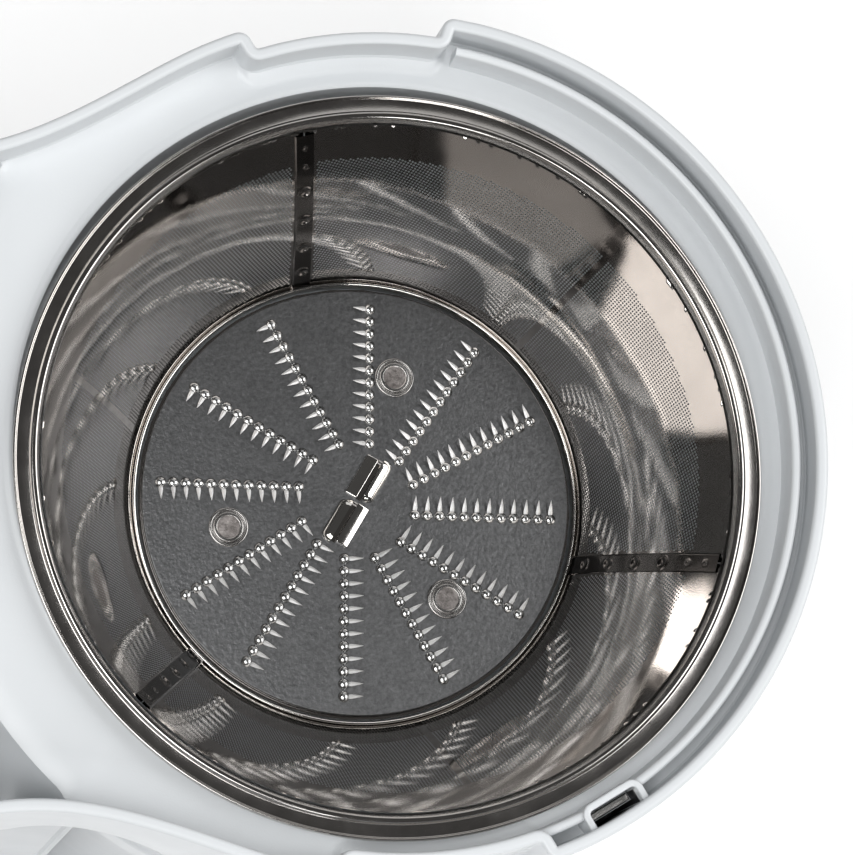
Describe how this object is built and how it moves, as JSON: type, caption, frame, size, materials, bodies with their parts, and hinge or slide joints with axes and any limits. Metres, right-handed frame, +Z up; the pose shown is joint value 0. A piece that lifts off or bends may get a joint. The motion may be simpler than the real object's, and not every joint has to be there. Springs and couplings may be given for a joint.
{
  "type": "centrifugal juicer",
  "caption": "Centrifugal juicer without its lid: motor base, juice collector with pulp chute, sieve basket with grater disc, pulp container and lid clamps.",
  "frame": {"origin": "centre of the footprint, on the surface that the feet stand on", "axes": "+Z up along the motor's axis, -X towards the pulp container, +X towards the juice spout, -Y towards the control knob's side"},
  "size_m": [0.278, 0.187, 0.241],
  "materials": {
    "white_plastic": "satin white moulded plastic",
    "grey_plastic": "satin grey plastic",
    "black_plastic": "matt black plastic",
    "container_plastic": "satin light grey plastic",
    "mirror_steel": "polished stainless steel",
    "grater_steel": "fine grained stainless sheet",
    "fastener_steel": "plain steel",
    "iron": "laminated iron",
    "copper": "copper",
    "rubber": "matt rubber"
  },
  "bodies": {
    "base": {"motor_housing": "white_plastic", "base_plate": "grey_plastic", "rubber_foot_1": "rubber", "rubber_foot_2": "rubber", "rubber_foot_3": "rubber", "rubber_foot_4": "rubber", "base_screw_1": "fastener_steel", "base_screw_2": "fastener_steel", "base_screw_3": "fastener_steel", "base_screw_4": "fastener_steel", "speed_switch": "black_plastic", "cord_gland": "rubber", "microswitch": "black_plastic", "plunger_spring": "fastener_steel", "clamp_pin_back": "fastener_steel", "clamp_pin_front": "fastener_steel", "motor_stator": "iron", "field_winding": "copper", "bracket_lower": "iron", "bracket_upper": "iron", "bearing_lower": "fastener_steel", "bearing_upper": "fastener_steel", "mount_ring_lower": "rubber", "mount_ring_upper": "rubber", "motor_bolt_1": "fastener_steel", "motor_bolt_2": "fastener_steel", "brush_holder_1": "black_plastic", "brush_holder_2": "black_plastic", "shaft_seal": "rubber"},
    "rotor": {"rotor_core": "iron", "motor_shaft": "fastener_steel", "commutator": "copper", "cooling_fan": "black_plastic", "drive_coupling": "black_plastic"},
    "knob": {"control_knob": "grey_plastic"},
    "plunger": {"interlock_plunger": "grey_plastic"},
    "clamp_back": {"lid_clamp_back": "grey_plastic"},
    "clamp_front": {"lid_clamp_front": "grey_plastic"},
    "collector": {"juice_collector": "white_plastic", "juice_bowl": "white_plastic", "bowl_floor": "white_plastic", "juice_spout": "white_plastic"},
    "rod": {"interlock_rod": "grater_steel"},
    "basket": {"basket_rim_ring": "mirror_steel", "mesh_panel_1": "mirror_steel", "mesh_panel_2": "mirror_steel", "mesh_panel_3": "mirror_steel", "basket_lower_ring": "mirror_steel", "basket_base": "mirror_steel", "basket_hub": "black_plastic", "grater_disc": "grater_steel", "disc_rivet_1": "mirror_steel", "disc_rivet_2": "mirror_steel", "disc_rivet_3": "mirror_steel"},
    "container": {"pulp_container": "container_plastic"}
  },
  "joints": [
    {"name": "rotor_spin", "type": "hinge", "parent": "base", "child": "rotor", "pos_m": [0.039, -0.0032, 0.09], "axis": [0, 0, 1], "continuous": true},
    {"name": "collector_lift", "type": "slide", "parent": "base", "child": "collector", "axis": [0, 0, 1], "range_m": [0, 0.045]},
    {"name": "basket_spin", "type": "hinge", "parent": "collector", "child": "basket", "pos_m": [0.039, -0.0032, 0.19], "axis": [0, 0, 1], "continuous": true},
    {"name": "clamp_back_hinge", "type": "hinge", "parent": "base", "child": "clamp_back", "pos_m": [0.039, 0.0892, 0.148], "axis": [1, 0, 0], "range_deg": [0, 180]},
    {"name": "clamp_front_hinge", "type": "hinge", "parent": "base", "child": "clamp_front", "pos_m": [0.039, -0.0892, 0.148], "axis": [-1, 0, 0], "range_deg": [0, 180]},
    {"name": "knob_turn", "type": "hinge", "parent": "base", "child": "knob", "pos_m": [0.09454, -0.06168, 0.062], "axis": [0.6691, -0.7431, 0], "range_deg": [0, 90]},
    {"name": "rod_press", "type": "slide", "parent": "collector", "child": "rod", "axis": [0, 0, -1], "range_m": [0, 0.004], "stiffness_N_per_m": 300, "springref_m": -0.002},
    {"name": "plunger_press", "type": "slide", "parent": "base", "child": "plunger", "axis": [0, 0, -1], "range_m": [0, 0.004], "stiffness_N_per_m": 300, "springref_m": -0.002, "deforming": ["plunger_spring"]},
    {"name": "container_slide", "type": "slide", "parent": "base", "child": "container", "axis": [-1, 0, 0], "range_m": [0, 0.12]}
  ],
  "couplings": [
    {"joint": "basket_spin", "follows": "rotor_spin", "ratio": 1},
    {"joint": "plunger_press", "follows": "rod_press", "ratio": 1}
  ]
}
